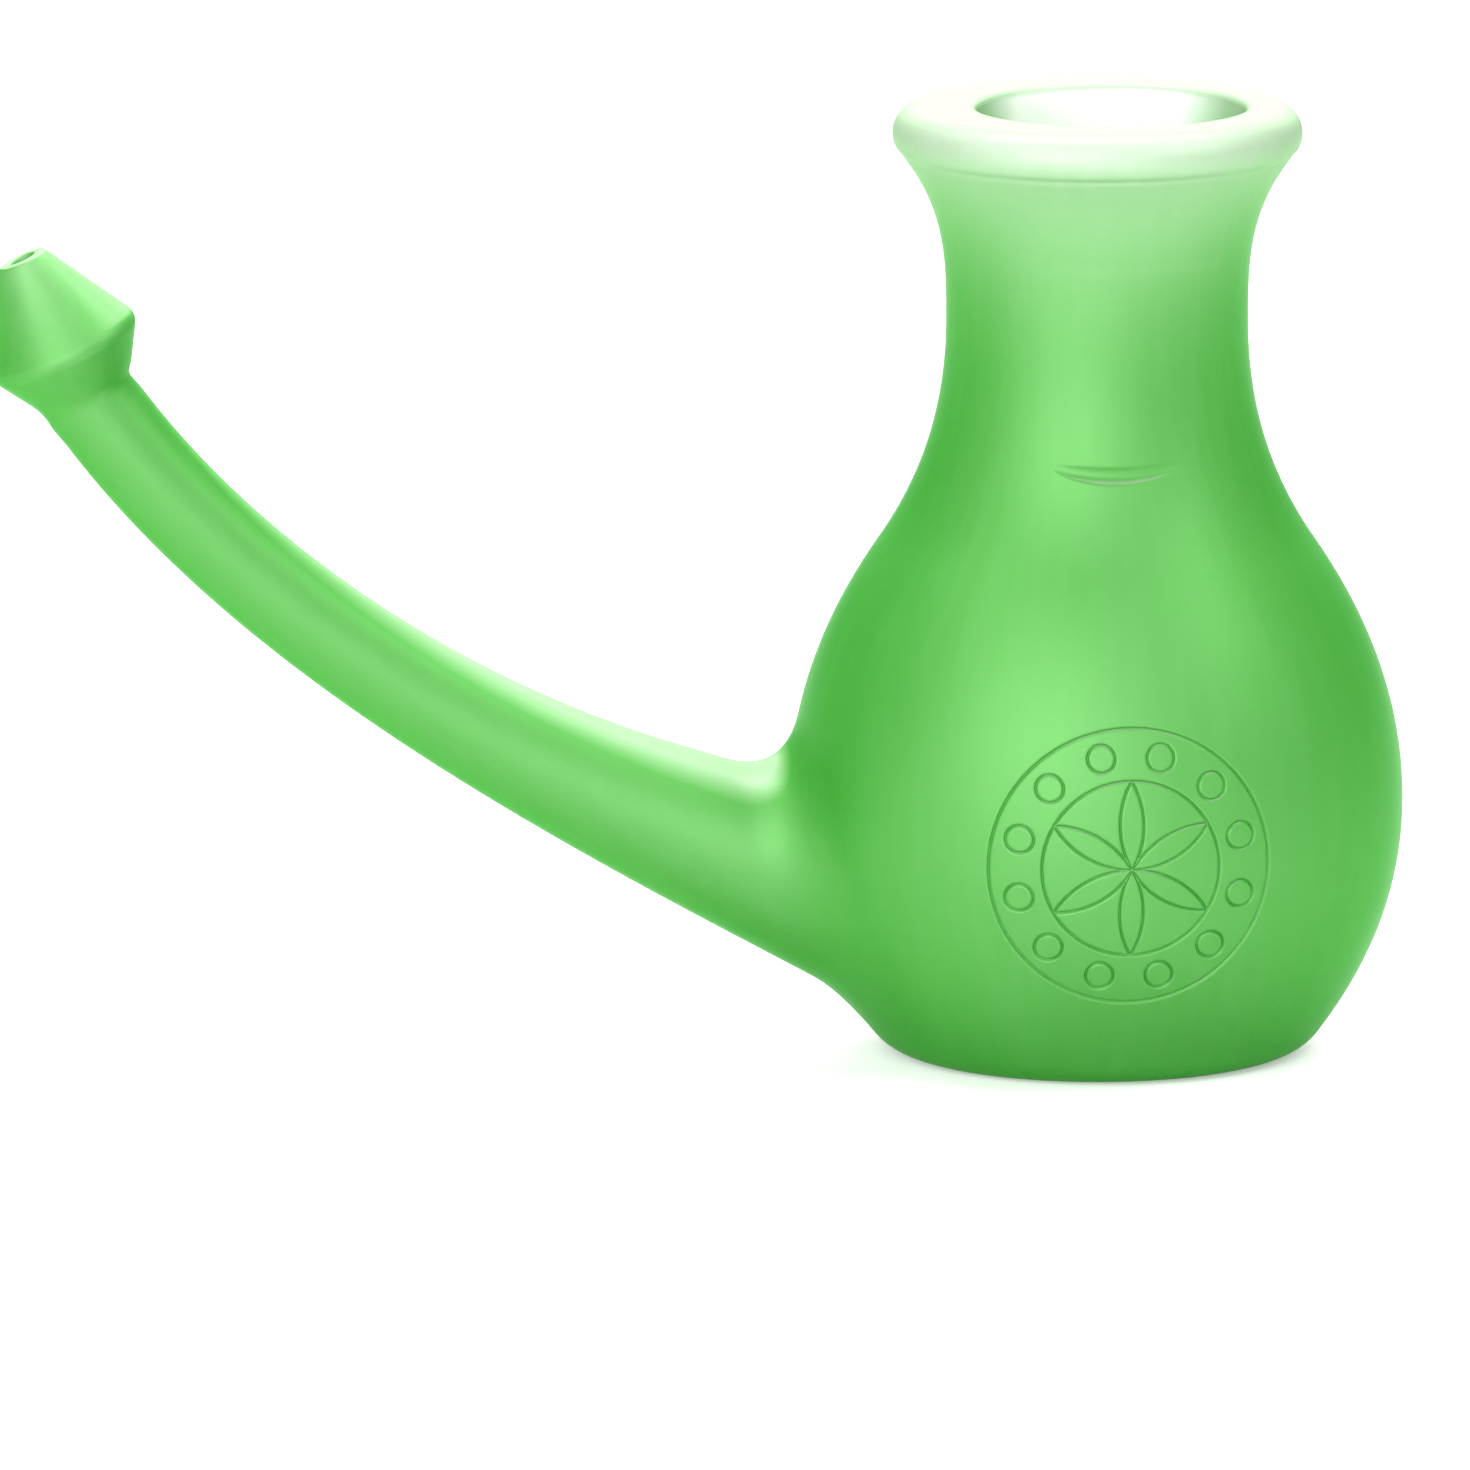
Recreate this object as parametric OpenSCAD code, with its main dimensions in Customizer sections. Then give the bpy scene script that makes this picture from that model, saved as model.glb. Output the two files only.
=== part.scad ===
// Neti pot: a round moulded flask with a flared lip, and a long curved spout that ends in a nozzle.
// It is one hollow piece. The pot stands on z = 0 with its middle on the Z axis, the spout runs
// towards -X, and the fill mark and the ornament face -Y.

/* [Body] */
// Height from the base to the top of the lip
height = 140; // [134:0.5:150]
// Diameter of the flat under the pot
base_d = 52.6; // [48:0.2:56]
// Radius of the round edge between the base and the side
base_edge_r = 8.4; // [6:0.2:10]
// Angle from upright at which the side leaves that edge
base_flare = 37; // [30:1:42]
// Diameter of the belly at its widest
belly_d = 90; // [86:0.5:96]
// Height of the widest ring
belly_z = 37.4; // [34:0.2:42]
// Diameter of the shoulder where it is steepest
shoulder_d = 64.2; // [60:0.2:68]
// Height of the steepest ring
shoulder_z = 75.5; // [72:0.5:80]
// Angle from upright at which the shoulder leans in there
shoulder_lean = 34.6; // [30:0.2:38]
// Diameter of the neck at its waist
neck_d = 44.2; // [42:0.2:48]
// Height of the waist
neck_z = 108.8; // [104:0.2:112]
// Wall thickness, the same all round
wall = 2.2; // [1.6:0.1:2.8]

/* [Lip] */
// How far the lip stands out beyond the neck
lip_out = 7.9; // [6:0.1:10]
// Radius of the lip's round outer edge
lip_edge_r = 4; // [3:0.1:4.4]
// Angle from upright at which the neck flares into the lip
lip_flare = 40; // [34:1:46]
// How much narrower the mouth is than the neck inside
mouth_step = 0.4; // [0.2:0.1:2]
// Radius of the round edge of the mouth
mouth_edge_r = 1.2; // [0.6:0.1:2]
// How far the mouth's middle lies from the pot's middle, away from the spout
mouth_shift = 2; // [0:0.1:2.4]

/* [Spout] */
// Distance of the spout's root from the pot's middle
root_x = 38; // [34:0.5:39]
// Height of the spout's middle at its root
root_z = 26; // [25:0.2:30]
// Angle at which the spout rises from its root
root_rise = 18; // [14:1:22]
// How far the spout keeps to that direction
root_pull = 44.4; // [36:0.2:48]
// Diameter of the spout at its root
root_d = 29.6; // [26:0.2:30]
// Distance of the nozzle's foot from the pot's middle
stem_x = 148.1; // [140:0.1:156]
// Height of the nozzle's foot
stem_z = 100; // [94:0.1:106]
// Angle at which the spout rises where it meets the nozzle
stem_rise = 55.7; // [50:0.2:62]
// How far below the nozzle the spout keeps to that direction
stem_pull = 41.4; // [36:0.2:46]
// Diameter of the spout below the nozzle
stem_d = 13.9; // [12:0.1:16]
// How fast the root narrows to the stem
taper_power = 3.3; // [2.6:0.05:4]
// Reach of the soft corner above the root
crotch_blend = 10.5; // [4:0.5:11]
// Reach of the soft corner on each side of the root
side_blend = 11; // [6:0.5:14]
// Reach of the soft corner below the root
heel_blend = 6; // [2:0.5:6]

/* [Nozzle] */
// Angle of the nozzle's own axis from level
nozzle_rise = 64.7; // [56:0.2:72]
// Length of the nozzle from its foot to its face
nozzle_length = 22.2; // [20:0.2:26]
// Distance of the nozzle's ridge from its face
ridge_x = 14.6; // [12:0.1:16]
// Diameter over the ridge, before its edge is rounded
ridge_d = 23.2; // [20:0.2:25]
// Radius of the round edge on the ridge
ridge_edge_r = 2.4; // [1:0.1:3.5]
// Diameter of the nozzle's face
face_d = 7.2; // [6:0.1:9]
// Radius of the round edge of the face
face_edge_r = 0.7; // [0.3:0.1:1]
// Diameter of the hole in the face
hole_d = 3.6; // [2.4:0.1:4.4]

/* [Fill mark] */
// Height of the fill mark
fill_z = 90.4; // [84:0.2:96]
// Width of the fill mark
fill_w = 18.5; // [12:0.5:22]
// Depth of the fill mark at its middle
fill_depth = 0.8; // [0.4:0.05:1]
// Radius of the fill mark's hollow section
fill_r = 1.6; // [1.2:0.1:3]

/* [Ornament] */
// Height of the ornament's middle
ornament_z = 34.8; // [32:0.2:38]
// Diameter of its outer ring
ornament_d = 41; // [38:0.5:42]
// Diameter of the ring round its flower
flower_d = 26; // [22:0.5:28]
// Petals of the flower
petals = 6; // [4:2:8]
// Beads between the two rings
beads = 12; // [8:1:14]
// Diameter of a bead
bead_d = 4; // [3:0.2:4.6]
// Width of the engraved lines
line_w = 0.5; // [0.4:0.05:0.8]
// Depth of the engraved lines
line_depth = 0.35; // [0.2:0.05:0.5]

/* [Hidden] */

// Smoothness of the turned forms, of their side and round edges, and of the spout
$fn = 96;
side_steps = 8;
edge_steps = 8;
small_edge_steps = 5;
spout_sides = 48;
channel_sides = 36;
spout_steps = 28;
// Smallest overlap that lets two solids merge, and how far a cutter runs past what it opens
merge = 0.2;
past = 1;

// The lip and the mouth follow the neck
lip_d = neck_d + 2 * lip_out;
mouth_d = neck_d - 2 * wall - mouth_step;

// Stations of the body's side, each with its height, its radius and its slope dr/dz
edge_top = [
    base_edge_r * (1 - sin(base_flare)),
    base_d / 2 + base_edge_r * cos(base_flare),
    tan(base_flare)
];
belly = [belly_z, belly_d / 2, 0];
shoulder = [shoulder_z, shoulder_d / 2, -tan(shoulder_lean)];
waist = [neck_z, neck_d / 2, 0];
lip_middle = [lip_d / 2 - lip_edge_r, height - lip_edge_r];
flare_end = [
    lip_middle[1] - lip_edge_r * sin(lip_flare),
    lip_middle[0] + lip_edge_r * cos(lip_flare),
    tan(lip_flare)
];

// Height of the cavity's floor
floor_z = wall;

// Radius and slope between two stations, as a cubic that meets both slopes
function curve_r(z, a, b) =
    let (h = b[0] - a[0], t = (z - a[0]) / h)
    (2 * pow(t, 3) - 3 * t * t + 1) * a[1] + (pow(t, 3) - 2 * t * t + t) * h * a[2]
    + (3 * t * t - 2 * pow(t, 3)) * b[1] + (pow(t, 3) - t * t) * h * b[2];
function curve_slope(z, a, b) =
    let (h = b[0] - a[0], t = (z - a[0]) / h)
    (6 * t * t - 6 * t) * (a[1] - b[1]) / h
    + (3 * t * t - 4 * t + 1) * a[2] + (3 * t * t - 2 * t) * b[2];

// Stations on each side of a height
function span(z) =
    z < belly[0] ? [edge_top, belly]
    : z < shoulder[0] ? [belly, shoulder]
    : z < waist[0] ? [shoulder, waist]
    : [waist, flare_end];

// Outer radius of the body at a height, with the base's round edge as a true arc
function edge_r(z) =
    let (dz = base_edge_r - max(z, 0))
    base_d / 2 + sqrt(max(pow(base_edge_r, 2) - dz * dz, 0));
function body_r(z) = z < edge_top[0] ? edge_r(z) : curve_r(z, span(z)[0], span(z)[1]);
function body_slope(z) =
    z < edge_top[0]
        ? (base_edge_r - z) / max(edge_r(z) - base_d / 2, 0.1)
        : curve_slope(z, span(z)[0], span(z)[1]);

// A point of the body's side, moved inwards along its normal
function side_point(z, inset) =
    let (m = body_slope(z), n = sqrt(1 + m * m))
    [body_r(z) - inset / n, z + inset * m / n];

// Radius of the surface that lies inset from the side, for the spout to land on
function inset_r(z, inset) =
    let (m = body_slope(z))
    body_r(z) - inset * sqrt(1 + min(m * m, 1));

// Evenly spaced values from a to b, both included
function steps(a, b, n) = [for (i = [0:n]) a + (b - a) * i / n];

// How far the spout runs on inside the nozzle, and the nozzle's narrowing tail inside the spout
stem_into = 2.5;
tail_in = 1.2;
tail_length = 3.2;
foot_edge_r = 5;

// Points of an arc round a middle
function arc(middle, r, from, to, n) =
    [for (a = steps(from, to, n)) middle + r * [cos(a), sin(a)]];

// Side of the body from the base's flat up to the neck's waist, moved inwards
function side(inset) = concat(
    arc([base_d / 2, base_edge_r], base_edge_r - inset, -90, -base_flare, edge_steps),
    [for (z = steps(edge_top[0], belly_z, side_steps)) if (z > edge_top[0]) side_point(z, inset)],
    [for (z = steps(belly_z, shoulder_z, side_steps)) if (z > belly_z) side_point(z, inset)],
    [for (z = steps(shoulder_z, neck_z, 2 * side_steps)) if (z > shoulder_z) side_point(z, inset)]
);

function unit(v) = v / norm(v);

// Arc that rounds the corner b of the path a, b, c
function corner(a, b, c, r, n) =
    let (
        u = unit(a - b),
        v = unit(c - b),
        half = acos(u * v) / 2,
        middle = b + unit(u + v) * r / sin(half),
        start = b + u * r / tan(half) - middle,
        end = b + v * r / tan(half) - middle,
        from = atan2(start[1], start[0]),
        turn = (atan2(end[1], end[0]) - from + 540) % 360 - 180
    )
    arc(middle, r, from, from + turn, n);

// Point, direction and radius along the spout's middle line, for t from 0 at the root to 1
stem_end = [-stem_x, stem_z];
line = [
    [-root_x, root_z],
    [-root_x, root_z] + root_pull * [-cos(root_rise), sin(root_rise)],
    stem_end - stem_pull * [-cos(stem_rise), sin(stem_rise)],
    stem_end
];
function line_point(t) =
    pow(1 - t, 3) * line[0] + 3 * pow(1 - t, 2) * t * line[1]
    + 3 * (1 - t) * t * t * line[2] + pow(t, 3) * line[3];
function line_dir(t) = unit(
    pow(1 - t, 2) * (line[1] - line[0]) + 2 * (1 - t) * t * (line[2] - line[1])
    + t * t * (line[3] - line[2])
);
function spout_r(t) = stem_d / 2 + (root_d - stem_d) / 2 * pow(max(1 - t, 0), taper_power);

// A point of the spout's skin: phi is 0 at its top and 90 towards +Y
function outward(t, phi) =
    let (d = line_dir(t))
    [d[1] * cos(phi), sin(phi), -d[0] * cos(phi)];
function skin(t, phi, inset) =
    let (p = line_point(t))
    [p[0], 0, p[1]] + (spout_r(t) - inset) * outward(t, phi);

// Distance along a ray, between lo and hi, at which it meets the inset side of the body
function reach(p, d, inset, lo, hi, halvings = 24) =
    let (m = (lo + hi) / 2, q = p + m * d)
    halvings == 0 ? m
    : norm([q[0], q[1]]) > inset_r(q[2], inset)
        ? reach(p, d, inset, m, hi, halvings - 1)
        : reach(p, d, inset, lo, m, halvings - 1);

// A point carried radially onto the inset side of the body, and a little into it
function landed(p, inset) =
    let (k = (inset_r(p[2], inset) - merge) / norm([p[0], p[1]]))
    [p[0] * k, p[1] * k, p[2]];

// Reach of the soft corner round the root: above, at the sides and below, wider on the inside
function blend(phi, inset) =
    let (up = cos(phi), inner = 0.8)
    inset * inner + side_blend * pow(sin(phi), 2)
    + (up > 0 ? crotch_blend : heel_blend) * up * up;

// Where on the spout the straight run to the body starts, further out at its top than below
function root_t(phi) = 0.14 + 0.07 * cos(phi);

// Soft corner at phi: from the skin towards the body, then along the body's side
function root_curve(phi, inset) =
    let (
        t = root_t(phi),
        step = 0.01,
        p = skin(t, phi, inset),
        d = unit(p - skin(t + step, phi, inset)),
        hit = p + reach(p, d, inset, 0, root_x) * d,
        b = blend(phi, inset),
        most = 0.9,
        start = hit - min(b, most * norm(hit - p)) * d,
        end = landed(hit + b * outward(t, phi), inset),
        // Where the spout's straight run meets the plane that touches the body at the end
        n = [end[0], end[1], -body_slope(end[2]) * norm([end[0], end[1]])],
        turn = start + d * ((end - start) * n) / (d * n)
    )
    [for (s = steps(0, 1, edge_steps)) pow(1 - s, 2) * start + 2 * s * (1 - s) * turn + s * s * end];

// Faces of a tube of closed rings, with a middle point after the last ring for each end
function tube_faces(rings, sides) =
    let (last = (rings - 1) * sides, first_cap = rings * sides, last_cap = first_cap + 1)
    concat(
        [for (k = [0:rings - 2], i = [0:sides - 1])
            let (a = k * sides + i, b = k * sides + (i + 1) % sides)
            [a, a + sides, b]],
        [for (k = [0:rings - 2], i = [0:sides - 1])
            let (a = k * sides + i, b = k * sides + (i + 1) % sides)
            [b, a + sides, b + sides]],
        [for (i = [0:sides - 1]) [first_cap, i, (i + 1) % sides]],
        [for (i = [0:sides - 1]) [last_cap, last + (i + 1) % sides, last + i]]
    );

// The spout as one tube, from inside the body to inside the nozzle
module spout_form(inset, sides) {
    turns = [for (i = [0:sides - 1]) 360 * i / sides];
    curves = [for (phi = turns) root_curve(phi, inset)];
    root_rings = [for (k = [0:edge_steps]) [for (c = curves) c[edge_steps - k]]];
    stem_rings = [
        for (s = steps(0, 1, spout_steps))
            [for (phi = turns) skin(root_t(phi) + (1 - root_t(phi)) * s, phi, inset)]
    ];
    d = line_dir(1);
    into = stem_into * [d[0], 0, d[1]];
    end_ring = [for (p = stem_rings[spout_steps]) p + into];
    rings = concat(root_rings, stem_rings, [end_ring]);
    points = [for (r = rings) each r];
    caps = [[-root_x + root_d / 2, 0, root_z], [stem_end[0], 0, stem_end[1]] + into];
    polyhedron(concat(points, caps), tube_faces(len(rings), sides));
}

// Crossing of two lines, each given by a point and a direction
function meet(p, u, q, v) =
    let (w = q - p)
    p + u * (w[0] * v[1] - w[1] * v[0]) / (u[0] * v[1] - u[1] * v[0]);

// Point of a line, given by a point and a direction, at a height
function at_height(p, u, h) = [p[0] + u[0] * (h - p[1]) / u[1], h];

// The nozzle, upright with its face at z = 0, each of its walls moved inwards
module nozzle_form(inset) {
    ridge = [ridge_d / 2, -ridge_x];
    foot = [stem_d / 2, -nozzle_length];
    cone = unit(ridge - [face_d / 2, 0]);
    back = unit(foot - ridge);
    foot_in = foot + inset * [back[1], -back[0]];
    cone_in = ridge + inset * [cone[1], -cone[0]];
    ridge_in = meet(cone_in, cone, foot_in, back);
    face_in = at_height(cone_in, cone, -inset);
    tail = foot_in - [tail_in, tail_length];
    rotate_extrude()
        polygon(concat(
            [[0, face_in[1]]],
            corner([0, face_in[1]], face_in, ridge_in, face_edge_r, small_edge_steps),
            corner(face_in, ridge_in, foot_in, ridge_edge_r, edge_steps),
            corner(ridge_in, foot_in, tail, foot_edge_r, small_edge_steps),
            [tail, [0, tail[1]]]
        ));
}

// Moves a form from upright to the nozzle's place
module at_nozzle() {
    translate([-stem_x - nozzle_length * cos(nozzle_rise), 0, stem_z + nozzle_length * sin(nozzle_rise)])
        rotate([0, nozzle_rise - 90, 0])
            children();
}

// Outer form of the body up to the top of the lip
module body_form() {
    rotate_extrude()
        polygon(concat(
            [[0, 0]],
            side(0),
            [for (i = [1:side_steps]) side_point(neck_z + (flare_end[0] - neck_z) * i / (side_steps + 1), 0)],
            arc(lip_middle, lip_edge_r, -lip_flare, 90, edge_steps),
            [[0, height]]
        ));
}

// Inside of the body, up to a cone that closes it within the neck
module cavity() {
    rotate_extrude()
        polygon(concat(
            [[0, floor_z]],
            side(wall),
            [[mouth_d / 4, neck_z + mouth_d / 2], [0, neck_z + mouth_d / 2]]
        ));
}

// The mouth: a bore that leans from the neck's middle to its own, with a round edge at the top
module mouth() {
    lean = atan2(mouth_shift, height - neck_z);
    overlap = 8;
    edge_z = height - mouth_edge_r;
    edge_middle = [mouth_d / 2 + mouth_edge_r, edge_z];
    // The edge's cutter starts inside the bore and leaves it at a clear angle
    start = [mouth_d / 2 - mouth_edge_r / 2, edge_z - mouth_edge_r];
    leave = 145;
    translate([0, 0, neck_z])
        rotate([0, lean, 0])
            translate([0, 0, -overlap])
                cylinder(d = mouth_d, h = height - neck_z + 2 * overlap);
    translate([mouth_shift, 0, 0])
        rotate_extrude()
            polygon(concat(
                [[0, start[1]], start],
                arc(edge_middle, mouth_edge_r, leave, 90, small_edge_steps),
                [[edge_middle[0], height + past], [0, height + past]]
            ));
}

// A shallow hollow across the front, cut by a ring that is flatter than the shoulder
module fill_mark() {
    front = side_point(fill_z, 0);
    half = fill_w / 2;
    ring_r = 1 / (1 / front[0] - 2 * fill_depth / (half * half));
    m = body_slope(fill_z);
    n = sqrt(1 + m * m);
    // Middle of the ring's section, out from the surface by what the depth leaves of its radius
    out = fill_r - fill_depth;
    section = [front[0] + out / n, front[1] - out * m / n];
    translate([0, ring_r - section[0], 0])
        rotate_extrude()
            translate([ring_r, section[1]])
                circle(fill_r, $fn = 4 * edge_steps);
}

// A round line of the ornament, as deep as half the pot
module round_line(d) {
    difference() {
        cylinder(d = d + line_w, h = belly_d);
        translate([0, 0, -past]) cylinder(d = d - line_w, h = belly_d + 2 * past);
    }
}

// Lines of the ornament: two rings, a compass-drawn flower in the inner one, beads between them
module ornament_lines() {
    round_line(ornament_d);
    round_line(flower_d);
    intersection() {
        cylinder(d = flower_d, h = belly_d);
        for (i = [1:petals])
            rotate(360 * i / petals)
                translate([0, flower_d / 2, 0])
                    round_line(flower_d);
    }
    for (i = [1:beads])
        rotate(360 * (i - 0.5) / beads)
            translate([0, (ornament_d + flower_d) / 4, 0])
                round_line(bead_d);
}

// The ornament as it is cut: its lines on the front, outside a body that is smaller by their depth
module ornament() {
    difference() {
        translate([0, 0, ornament_z]) rotate([90, 0, 0]) ornament_lines();
        rotate_extrude()
            polygon(concat([[0, line_depth]], side(line_depth), [[0, neck_z]]));
    }
}

module pot() {
    color([0.45, 0.82, 0.42])
        difference() {
            union() {
                body_form();
                spout_form(0, spout_sides);
                at_nozzle() nozzle_form(0);
            }
            cavity();
            mouth();
            spout_form(wall, channel_sides);
            at_nozzle() {
                nozzle_form(wall);
                translate([0, 0, -2 * wall]) cylinder(d = hole_d, h = 3 * wall);
            }
            fill_mark();
            ornament();
        }
}

pot();
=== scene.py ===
"""Dresses the neti pot: a smooth shell of frosted green plastic, its floor, its light and camera.

The shell repeats the frame's own sizes in millimetres: a turned body, a swept spout with a nozzle,
and the marks that are engraved in the front. It is one closed mesh, hollow as the real one is.
"""

import math

import bpy
import numpy as np
from mathutils import Matrix, Vector
from mathutils.geometry import delaunay_2d_cdt


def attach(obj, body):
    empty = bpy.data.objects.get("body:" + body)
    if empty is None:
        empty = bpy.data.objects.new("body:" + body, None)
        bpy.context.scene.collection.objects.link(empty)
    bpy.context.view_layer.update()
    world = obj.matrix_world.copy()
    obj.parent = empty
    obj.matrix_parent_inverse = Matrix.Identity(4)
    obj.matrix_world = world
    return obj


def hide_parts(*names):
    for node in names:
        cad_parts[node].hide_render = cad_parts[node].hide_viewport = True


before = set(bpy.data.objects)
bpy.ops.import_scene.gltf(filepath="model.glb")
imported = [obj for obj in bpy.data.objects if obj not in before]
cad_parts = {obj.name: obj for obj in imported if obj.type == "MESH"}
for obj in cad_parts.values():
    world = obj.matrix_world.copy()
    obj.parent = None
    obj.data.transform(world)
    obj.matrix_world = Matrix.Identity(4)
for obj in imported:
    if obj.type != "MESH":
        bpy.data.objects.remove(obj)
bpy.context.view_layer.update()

MM = 0.001

# Body, as in the frame: heights, diameters and angles from upright
HEIGHT = 140.0
BASE_D, BASE_EDGE_R, BASE_FLARE = 52.6, 8.4, 37.0
BELLY_D, BELLY_Z = 90.0, 37.4
SHOULDER_D, SHOULDER_Z, SHOULDER_LEAN = 64.2, 75.5, 34.6
NECK_D, NECK_Z = 44.2, 108.8
WALL = 2.2
LIP_D, LIP_EDGE_R, LIP_FLARE = 60.0, 4.0, 40.0
MOUTH_D, MOUTH_EDGE_R, MOUTH_SHIFT = 39.4, 1.2, 2.0
CREASE_Z, CREASE_W, CREASE_DEPTH = 133.2, 0.45, 0.16

# Spout: its middle line, its thickness and the soft corner round its root
ROOT, ROOT_RISE, ROOT_PULL, ROOT_D = (-38.0, 26.0), 18.0, 44.4, 29.6
STEM, STEM_RISE, STEM_PULL, STEM_D = (-148.1, 100.0), 55.7, 41.4, 13.9
TAPER_POWER = 3.3
CROTCH_BLEND, SIDE_BLEND, HEEL_BLEND = 10.5, 11.0, 6.0

# Where the soft corner ends and the nozzle begins, as shares of the middle line. The corner ends
# later at the top of the spout and sooner at its foot.
CORNER_END, CORNER_SWING, STEM_END = 0.14, 0.07, 0.965

# How much of the wall the corner's reach gains inside, how much of the way from the body to the
# skin it may take, and the least and the most of its reach at which it turns
CORNER_WALL, CORNER_SHARE, CORNER_TURN = 0.8, 0.9, (0.3, 1.6)

# Nozzle: turned about its own axis, measured from its face. The stem's direction changes to the
# nozzle's over the foot's turn, and the chamber has an edge of its own behind the face.
NOZZLE_RISE, NOZZLE_LENGTH = 64.7, 22.2
RIDGE_X, RIDGE_D, RIDGE_EDGE_R = 14.6, 23.2, 2.4
FACE_D, FACE_EDGE_R, HOLE_D = 7.2, 0.7, 3.6
FOOT_EDGE_R, FOOT_TURN = 5.0, 4.0
CHAMBER_EDGE_R = 0.3

# Rings of the nozzle's hole, which has a rounded rim: how much wider than the hole, and how far
# behind the face
THROAT = ((0.35, 0), (0.1, -0.1), (0, -0.35), (0, -1.2), (0, -WALL))

# Fill mark and ornament on the front
FILL_Z, FILL_W, FILL_DEPTH, FILL_R, FILL_SAG = 90.4, 18.5, 0.65, 1.5, 1.0
ORNAMENT_Z, ORNAMENT_D, FLOWER_D = 34.8, 41.0, 26.0
PETALS, BEADS, BEAD_D = 6, 12, 4.0
LINE_W, LINE_DEPTH, LINE_FLATNESS = 0.48, 0.32, 1.15

# Fineness of the mesh: points round the body and the spout, steps along a side in millimetres,
# and rows or rings in each other stretch
AROUND, SPOUT_SIDES = 128, 80
SIDE_STEP, CREASE_STEP, CAVITY_STEP, NOZZLE_STEP = 1.3, 0.2, 1.6, 1.0
FLAT_ROWS, BASE_EDGE_ROWS, CAVITY_EDGE_ROWS = 7, 8, 7
LIP_ROWS, LAND_ROWS, MOUTH_EDGE_ROWS, BORE_ROWS = 36, 6, 7, 16
CORNER_RINGS, STEM_RINGS = 10, 61
FOOT_RINGS, RIDGE_RINGS, FACE_RINGS = 6, 12, 6

# Radius of the smallest ring in the flat under the pot and in the cavity's floor
TIP_R = 3.0

# The mesh follows each engraved line at these places across it, in half widths from its middle.
# The outermost two lie beside the line, so that its shading ends there.
ACROSS_LINE = (-2.2, -1, -0.66, -0.33, 0, 0.33, 0.66, 1, 2.2)
LINE_STEP, LEAST_STEPS = 0.6, 36
FILL_COLUMNS, FILL_ROWS, FILL_GUARD = 45, 13, 0.35

# Points of the turned grid keep this far from what a patch follows
LINE_ROOM = 0.45

# Windows of the turned grid that patches fill: heights, middle angle, and columns to each side
FRONT, SPOUT_SIDE = 1.5 * math.pi, math.pi
ORNAMENT_WINDOW = (11.5, 58.5, FRONT, 12)
FILL_WINDOW = (86.5, 94.5, FRONT, 9)
ROOT_WINDOW = (0.9, 56, SPOUT_SIDE, 15)
CHANNEL_WINDOW = (2.4, 54, SPOUT_SIDE, 16)

# A window is flattened to distances round the belly
PLANE_R = BELLY_D / 2

# Flow of the plastic in the mould, which the streaks follow: its radius and its rise in the body
# and in the spout, and its value in the nozzle's hole
BODY_FLOW_R, BODY_FLOW_RISE = 9, 0.05
SPOUT_FLOW_R, SPOUT_FLOW_RISE, THROAT_FLOW = 3, 0.25, 30.0


# Turned body


def stations():
    """Heights, radii and slopes that the body's side passes through."""
    edge = math.radians(BASE_FLARE)
    lip = math.radians(LIP_FLARE)
    middle_r, middle_z = LIP_D / 2 - LIP_EDGE_R, HEIGHT - LIP_EDGE_R
    edge_z = BASE_EDGE_R * (1 - math.sin(edge))
    lip_z = middle_z - LIP_EDGE_R * math.sin(lip)
    return np.array([
        [edge_z, BASE_D / 2 + BASE_EDGE_R * math.cos(edge), math.tan(edge)],
        [BELLY_Z, BELLY_D / 2, 0.0],
        [SHOULDER_Z, SHOULDER_D / 2, -math.tan(math.radians(SHOULDER_LEAN))],
        [NECK_Z, NECK_D / 2, 0.0],
        [lip_z, middle_r + LIP_EDGE_R * math.cos(lip), math.tan(lip)],
    ])


STATIONS = stations()


def side_curve(z):
    """Radius and slope of the body's side at heights z, as a cubic from station to station."""
    z = np.asarray(z, float)
    k = np.clip(np.searchsorted(STATIONS[:, 0], z, side="right") - 1, 0, len(STATIONS) - 2)
    z0, r0, m0 = np.moveaxis(STATIONS[k], -1, 0)
    z1, r1, m1 = np.moveaxis(STATIONS[k + 1], -1, 0)
    h = z1 - z0
    t = (z - z0) / h
    r = (2 * t**3 - 3 * t**2 + 1) * r0 + (t**3 - 2 * t**2 + t) * h * m0
    r = r + (3 * t**2 - 2 * t**3) * r1 + (t**3 - t**2) * h * m1
    slope = 6 * (t**2 - t) * (r0 - r1) / h
    slope = slope + (3 * t**2 - 4 * t + 1) * m0 + (3 * t**2 - 2 * t) * m1
    return r, slope


def body_curve(z):
    """Radius and slope of the whole side, with the base's round edge as a true arc."""
    z = np.asarray(z, float)
    r, slope = side_curve(np.maximum(z, STATIONS[0, 0]))
    drop = BASE_EDGE_R - np.clip(z, 0, STATIONS[0, 0])
    # Kept just off zero, where the slope has no end
    run = np.sqrt(np.maximum(BASE_EDGE_R**2 - drop**2, 1e-4))
    low = z < STATIONS[0, 0]
    return np.where(low, BASE_D / 2 + run, r), np.where(low, drop / run, slope)


def inset_radius(z, inset):
    """Radius at height z of the surface that lies inset from the side."""
    r, m = body_curve(z)
    return r - inset * np.sqrt(1 + np.minimum(m**2, 1))


def arc(middle, radius, start, end, count):
    """Points of an arc, both ends included, angles in degrees."""
    a = np.radians(np.linspace(start, end, count + 1))
    return np.c_[middle[0] + radius * np.cos(a), middle[1] + radius * np.sin(a)]


def side_rows(inset, z_from, z_to, step):
    """Points of the side between two heights, moved inwards along its normal."""
    count = max(int(round(abs(z_to - z_from) / step)), 1)
    z = np.linspace(z_from, z_to, count + 1)
    r, m = side_curve(z)
    n = np.sqrt(1 + m**2)
    return np.c_[r - inset / n, z + inset * m / n]


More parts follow.
